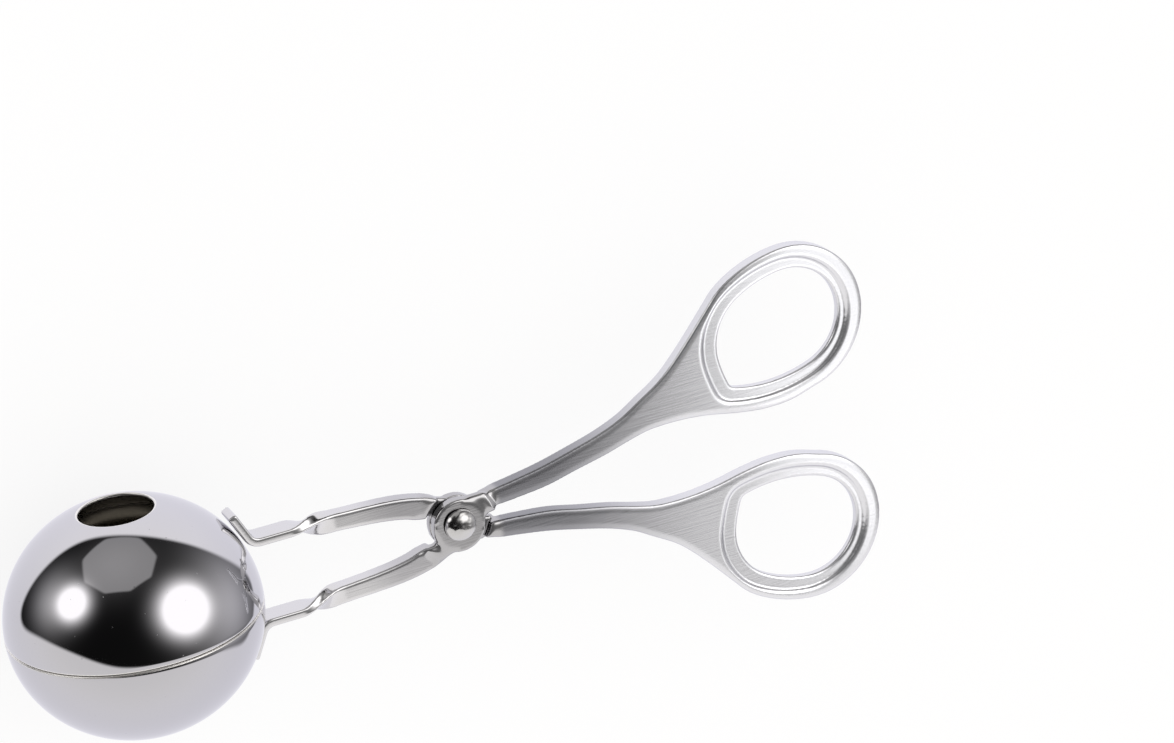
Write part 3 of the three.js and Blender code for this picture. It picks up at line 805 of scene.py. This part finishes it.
for lever_name, turned, body in (("front_lever", False, "front"), ("back_lever", True, "back")):
    lever = lever_form()
    lever.name = "satin_" + lever_name
    forged(lever)
    settle(lever, turned, Vector((0.0, 0.0, 0.0)))
    lean = math.radians(-BELT_LEAN if turned else BELT_LEAN)
    lever.data.materials.clear()
    lever.data.materials.append(ground_steel_and_shade("belt-ground stainless steel " + body, lean))
    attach(lever, body)
    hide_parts(lever_name)


# ---- The rivet ----
# A round-headed stainless rivet holds the two ears. Its shank turns in both, the dome in front is
# hammered and then buffed, and the tail behind is peened flatter.

HEAD_RADIUS = 3.05
HEAD_HEIGHT = 1.7
TAIL_RADIUS = 2.8
TAIL_HEIGHT = 1.0
SEAT_GAP = 0.3
SEAT = LAP_GAP / 2 + EAR_THICKNESS + SEAT_GAP
HEAD_OFFSET = Vector((-0.1, 0.35, 0.0))
DOME_STEPS = 16


def rivet_form():
    """Tail, shank and dome as one turned solid."""
    quarter = [i * math.pi / 2 / DOME_STEPS for i in range(DOME_STEPS + 1)]
    tail = [(TAIL_RADIUS * math.sin(a), -SEAT - TAIL_HEIGHT * math.cos(a)) for a in quarter]
    head = [(HEAD_RADIUS * math.cos(a), SEAT + HEAD_HEIGHT * math.sin(a)) for a in quarter]
    return turned_form(tail + [(RIVET_RADIUS, -SEAT), (RIVET_RADIUS, SEAT)] + head)


def rivet_finish():
    """Stainless rivet wire: hammered, then buffed, so it glints in patches."""
    material, tree, shader = metal("polished stainless rivet", "#d4d3d2", 0.2)
    place = node(tree, "ShaderNodeTexCoord").outputs["Object"]
    # Shallow dull dents of about 1.5 mm, where the hammer struck, break up what the dome mirrors
    dents = node(tree, "ShaderNodeTexNoise", {"Vector": place, "Scale": 1 / 0.0015, "Detail": 1.0})
    rough = node(tree, "ShaderNodeMapRange", {
        "Value": dents.outputs["Fac"], "To Min": 0.08, "To Max": 0.28})
    relief = node(tree, "ShaderNodeBump", {
        "Height": dents.outputs["Fac"], "Strength": 0.6, "Distance": 0.0003})
    tree.links.new(rough.outputs["Result"], shader.inputs["Roughness"])
    tree.links.new(relief.outputs["Normal"], shader.inputs["Normal"])
    return material


rivet = rivet_form()
rivet.name = "polished_rivet"
# The hammer left the dome a little off the shank's axis
for vertex in rivet.data.vertices:
    if vertex.co.z > SEAT - 0.01 and vertex.co.xy.length > 0.0:
        vertex.co += HEAD_OFFSET
settle(rivet, False, Vector((0.0, 0.0, 0.0)))
even_normals(rivet)
rivet.data.materials.append(rivet_finish())
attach(rivet, "back")
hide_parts("pivot_rivet")


# ---- Studio ----
# A plain white sweep lies under and behind the tongs. Between its straight edges the polished bowls
# show the dim room behind the camera, two round lamps with their glow, and an eight-sided soft box.

CAMERA_PLACE = Vector((-0.19434545, 0.27079457, 0.58257482))
CAMERA_RIGHT = Vector((0.90529525, -0.11066956, 0.4101131))
CAMERA_UP = Vector((0.25164715, 0.91753734, -0.30789437))
CAMERA_BACK = Vector((-0.34221954, 0.3819391, 0.85849188))
FOCAL_SHARE = 3579.5 / 1174

camera_data = bpy.data.cameras.new("camera")
camera_data.sensor_width = 36.0
camera_data.lens = FOCAL_SHARE * camera_data.sensor_width
camera_data.clip_start = 0.01
camera = bpy.data.objects.new("camera", camera_data)
bpy.context.scene.collection.objects.link(camera)
for row, axes in enumerate(zip(CAMERA_RIGHT, CAMERA_UP, CAMERA_BACK)):
    camera.matrix_world[row][0:3] = axes
camera.matrix_world.translation = CAMERA_PLACE
bpy.context.scene.camera = camera

FLOOR_REACH = 3.0
floor_mesh = bpy.data.meshes.new("floor")
floor_mesh.from_pydata(
    [(x * FLOOR_REACH, y * FLOOR_REACH, 0.0) for x, y in ((-1, -1), (1, -1), (1, 1), (-1, 1))],
    [], [(0, 1, 2, 3)])
floor = add_piece("floor", floor_mesh)
paper = bpy.data.materials.new("white paper sweep")
paper.use_nodes = True
floor_mesh.materials.append(paper)
paper_tree = paper.node_tree
paper_tree.nodes.clear()
# Most of what the camera sees of the paper is plain white, and the rest takes the shadow
path = node(paper_tree, "ShaderNodeLightPath").outputs
white_share = node(paper_tree, "ShaderNodeMath", {0: path["Is Camera Ray"], 1: 0.8},
                   operation="MULTIPLY")
matte = node(paper_tree, "ShaderNodeBsdfDiffuse", {"Color": linear("#ffffff")})
white = node(paper_tree, "ShaderNodeEmission", {"Color": linear("#ffffff"), "Strength": 1.0})
mixed = node(paper_tree, "ShaderNodeMixShader", {
    0: white_share.outputs[0], 1: matte.outputs[0], 2: white.outputs[0]})
node(paper_tree, "ShaderNodeOutputMaterial", {"Surface": mixed.outputs[0]})
# In a mirror the world's own white sweep stands for the paper, because the room that the bowls
# show reaches below the level of the table
floor.visible_glossy = False


# Two soft lights that face down, one over the finger loops and a wide dim one over both levers;
# the bowls and the rivet are shielded from them
lit = bpy.data.collections.new("lit from above")
for piece_name in ("satin_front_lever", "satin_back_lever"):
    lit.objects.link(bpy.data.objects[piece_name])
for light_name, place, width, depth, energy in (
    ("light over the loops", (0.1525, -0.03, 0.152), 0.075, 0.15, 0.027),
    ("light over the levers", (0.03, 0.0, 0.5), 4.4, 4.4, 7.6),
):
    lamp = bpy.data.objects.new(light_name, bpy.data.lights.new(light_name, "AREA"))
    lamp.data.shape = "ELLIPSE"
    lamp.data.size, lamp.data.size_y = width, depth
    lamp.data.energy = energy
    lamp.location = place
    lamp.visible_camera = lamp.visible_diffuse = False
    lamp.light_linking.receiver_collection = lit
    bpy.context.scene.collection.objects.link(lamp)


def seen(right, up, back):
    """A direction given along the photograph's own axes."""
    return (CAMERA_RIGHT * right + CAMERA_UP * up + CAMERA_BACK * back).normalized()


world = bpy.data.worlds.new("studio")
bpy.context.scene.world = world
world.use_nodes = True
sky = world.node_tree
sky.nodes.clear()
ray = node(sky, "ShaderNodeTexCoord").outputs["Generated"]

# The dim room shows inside five straight edges of the white walls
ROOM_CORNER = 0.2
ROOM_EDGE = 0.03
room = 1.0
for right, up, back, reach in (
    (0.31, -0.423, 0.851, 0.622), (-0.004, -0.73, 0.683, 0.695), (-0.059, 0.963, 0.264, 0.459),
    (0.185, 0.457, 0.87, 0.498), (0.35, 0.905, 0.241, 0.487),
):
    facing = node(sky, "ShaderNodeVectorMath", {0: ray, 1: seen(right, up, back)},
                  operation="DOT_PRODUCT").outputs["Value"]
    within = node(sky, "ShaderNodeMath", {0: facing, 1: reach}, operation="ADD").outputs[0]
    room = node(sky, "ShaderNodeMath", {0: room, 1: within, 2: ROOM_CORNER},
                operation="SMOOTH_MIN").outputs[0]
room = node(sky, "ShaderNodeMapRange", {
    "Value": room, "From Min": -ROOM_EDGE, "From Max": ROOM_EDGE},
    interpolation_type="SMOOTHSTEP").outputs["Result"]

# Each light is brightest along its direction and fades round it, the faster the larger its focus
ROOM_LEVEL = 0.006
glow = ROOM_LEVEL
for direction, level, focus in (
    (seen(-0.74, 0.295, 0.604), 4.43, 50.8), (seen(-0.91, 0.267, 0.317), 0.547, 17.8),
    (seen(-0.217, 0.822, 0.527), 0.09, 9.7), (seen(0.772, 0.196, 0.605), 6.82, 23.7),
    (seen(0.972, 0.15, -0.15), 0.62, 6.0),
):
    facing = node(sky, "ShaderNodeVectorMath", {0: ray, 1: direction},
                  operation="DOT_PRODUCT").outputs["Value"]
    fading = node(sky, "ShaderNodeMath", {0: facing, 1: focus, 2: -focus},
                  operation="MULTIPLY_ADD").outputs[0]
    spread = node(sky, "ShaderNodeMath", {0: fading}, operation="EXPONENT").outputs[0]
    glow = node(sky, "ShaderNodeMath", {0: spread, 1: level, 2: glow},
                operation="MULTIPLY_ADD").outputs[0]

# Past this level the bowls show plain white, and the satin levers would only glare
BRIGHTEST = 1.7
BRIGHTEST_KNEE = 0.4
glow = node(sky, "ShaderNodeMath", {0: glow, 1: BRIGHTEST, 2: BRIGHTEST_KNEE},
            operation="SMOOTH_MIN").outputs[0]

# The soft box: four pairs of opposite straight sides round its middle
BOX_MIDDLE = seen(-0.166, 0.84, 0.515)
BOX_REACH = math.tan(math.radians(26.5))
BOX_TURN = -7
BOX_CORNER = 0.04
BOX_LEVEL = 0.32
box_side = BOX_MIDDLE.cross(CAMERA_BACK).normalized()
ahead = node(sky, "ShaderNodeVectorMath", {0: ray, 1: BOX_MIDDLE},
             operation="DOT_PRODUCT").outputs["Value"]
widest = -1.0
for pair in range(4):
    side = Quaternion(BOX_MIDDLE, math.radians(45 * pair + BOX_TURN)) @ box_side
    across = node(sky, "ShaderNodeVectorMath", {0: ray, 1: side},
                  operation="DOT_PRODUCT").outputs["Value"]
    across = node(sky, "ShaderNodeMath", {0: across}, operation="ABSOLUTE").outputs[0]
    across = node(sky, "ShaderNodeMath", {0: ahead, 1: -BOX_REACH, 2: across},
                  operation="MULTIPLY_ADD").outputs[0]
    widest = node(sky, "ShaderNodeMath", {0: widest, 1: across, 2: BOX_CORNER},
                  operation="SMOOTH_MAX").outputs[0]
soft_box = node(sky, "ShaderNodeMapRange", {
    "Value": widest, "From Min": -0.02, "From Max": 0.03, "To Min": BOX_LEVEL, "To Max": 0.0},
    interpolation_type="SMOOTHSTEP").outputs["Result"]
room_light = node(sky, "ShaderNodeMath", {0: glow, 1: soft_box}, operation="ADD").outputs[0]

# The sweep is brighter above the tongs than beside the camera, and cooler behind them
SWEEP_BEHIND = 0.96
SWEEP_BESIDE = 0.87
SWEEP_ABOVE = 0.16
upward = node(sky, "ShaderNodeVectorMath", {0: ray, 1: CAMERA_UP},
              operation="DOT_PRODUCT").outputs["Value"]
backward = node(sky, "ShaderNodeVectorMath", {0: ray, 1: CAMERA_BACK},
                operation="DOT_PRODUCT").outputs["Value"]
above = node(sky, "ShaderNodeMapRange", {
    "Value": upward, "From Min": 0.0, "From Max": 0.8,
    "To Max": SWEEP_ABOVE}).outputs["Result"]
sweep_light = node(sky, "ShaderNodeMapRange", {
    "Value": backward, "From Min": -0.2, "From Max": 0.8, "To Min": SWEEP_BEHIND,
    "To Max": SWEEP_BESIDE},
    interpolation_type="SMOOTHSTEP").outputs["Result"]
sweep_light = node(sky, "ShaderNodeMath", {0: sweep_light, 1: above}, operation="ADD").outputs[0]
tint = node(sky, "ShaderNodeMapRange", {"Value": backward, "From Min": -0.9, "From Max": 0.3})
tint = node(sky, "ShaderNodeMix", {
    0: tint.outputs["Result"], 6: linear("#f8f7ff"), 7: linear("#fffdfc")}, data_type="RGBA")
reflected = node(sky, "ShaderNodeMix", {0: room, 2: sweep_light, 3: room_light},
                 data_type="FLOAT").outputs[0]
path = node(sky, "ShaderNodeLightPath").outputs
plain = node(sky, "ShaderNodeMath", {0: path["Is Camera Ray"], 1: path["Is Diffuse Ray"]},
             operation="MAXIMUM").outputs[0]
strength = node(sky, "ShaderNodeMix", {0: plain, 2: reflected, 3: 1.0},
                data_type="FLOAT").outputs[0]
backdrop = node(sky, "ShaderNodeBackground", {"Color": tint.outputs[2], "Strength": strength})
node(sky, "ShaderNodeOutputWorld", {"Surface": backdrop.outputs["Background"]})

bpy.context.scene.view_settings.view_transform = "Standard"
